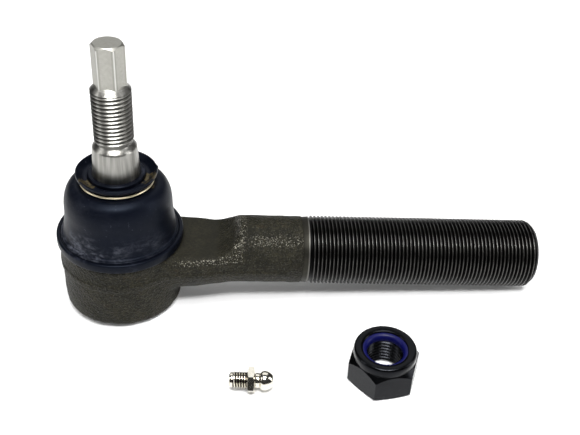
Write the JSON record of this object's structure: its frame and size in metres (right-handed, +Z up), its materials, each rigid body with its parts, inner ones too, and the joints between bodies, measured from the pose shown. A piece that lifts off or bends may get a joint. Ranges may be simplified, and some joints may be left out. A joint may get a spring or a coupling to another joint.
{
  "type": "tie rod end",
  "caption": "Heavy outer tie rod end: forged socket with threaded shank, tapered ball stud, rubber boot, and a loose lock nut and grease fitting.",
  "frame": {"origin": "centre of the ball, where the stud's axis crosses the shank's axis", "axes": "+X along the threaded shank towards its tip, +Z up the ball stud, +Y to the far side of the shank"},
  "size_m": [0.1873, 0.0863, 0.1067],
  "materials": {
    "socket_housing": "dark phosphate over a forged skin",
    "cover_plate": "dark phosphate",
    "upper_bearing": "oiled sintered steel",
    "lower_bearing": "oiled sintered steel",
    "preload_washer": "blued spring steel",
    "ball_stud": "bright turned steel",
    "dust_boot": "black moulded rubber with pale dust",
    "boot_top_ring": "yellow zinc plated wire",
    "boot_base_ring": "smooth black coat",
    "boot_collar": "black nylon",
    "lock_nut": "black oxide, satin",
    "nut_insert": "blue nylon",
    "fitting_body": "bright zinc plate",
    "fitting_check_ball": "polished steel",
    "fitting_spring": "spring wire"
  },
  "bodies": {
    "housing": {"socket_housing": "socket_housing", "cover_plate": "cover_plate", "boot_base_ring": "boot_base_ring"},
    "bearing_and_boot": {"upper_bearing": "upper_bearing", "dust_boot": "dust_boot"},
    "boot_top": {"boot_top_ring": "boot_top_ring", "boot_collar": "boot_collar"},
    "stud": {"ball_stud": "ball_stud"},
    "pressure_seat": {"lower_bearing": "lower_bearing", "preload_washer": "preload_washer"},
    "nut": {"lock_nut": "lock_nut", "nut_insert": "nut_insert"},
    "fitting": {"fitting_body": "fitting_body", "fitting_spring": "fitting_spring"},
    "check_ball": {"fitting_check_ball": "fitting_check_ball"}
  },
  "joints": [
    {"name": "swing_direction", "type": "hinge", "parent": "housing", "child": "bearing_and_boot", "pos_m": [0, 0, 0], "axis": [0, 0, 1], "continuous": true},
    {"name": "stud_swing", "type": "hinge", "parent": "bearing_and_boot", "child": "boot_top", "pos_m": [0, 0, 0], "axis": [0, 1, 0], "range_deg": [-22, 22], "deforming": ["dust_boot"]},
    {"name": "stud_spin", "type": "hinge", "parent": "boot_top", "child": "stud", "pos_m": [0, 0, 0], "axis": [0, 0, 1], "continuous": true},
    {"name": "seat_travel", "type": "slide", "parent": "housing", "child": "pressure_seat", "axis": [0, 0, 1], "range_m": [-0.0005, 0], "stiffness_N_per_m": 5000, "springref_m": 0.0005, "deforming": ["preload_washer"]},
    {"name": "lock_nut_lift", "type": "slide", "parent": "housing", "child": "nut", "axis": [-0.0592, 0, 0.9982], "range_m": [0, 0.06]},
    {"name": "grease_fitting_lift", "type": "slide", "parent": "housing", "child": "fitting", "axis": [-0.0592, 0, 0.9982], "range_m": [0, 0.05]},
    {"name": "check_ball_travel", "type": "slide", "parent": "fitting", "child": "check_ball", "axis": [-0.9944, 0.0872, -0.059], "range_m": [0, 0.0008], "stiffness_N_per_m": 2, "springref_m": -0.001, "deforming": ["fitting_spring"]}
  ]
}
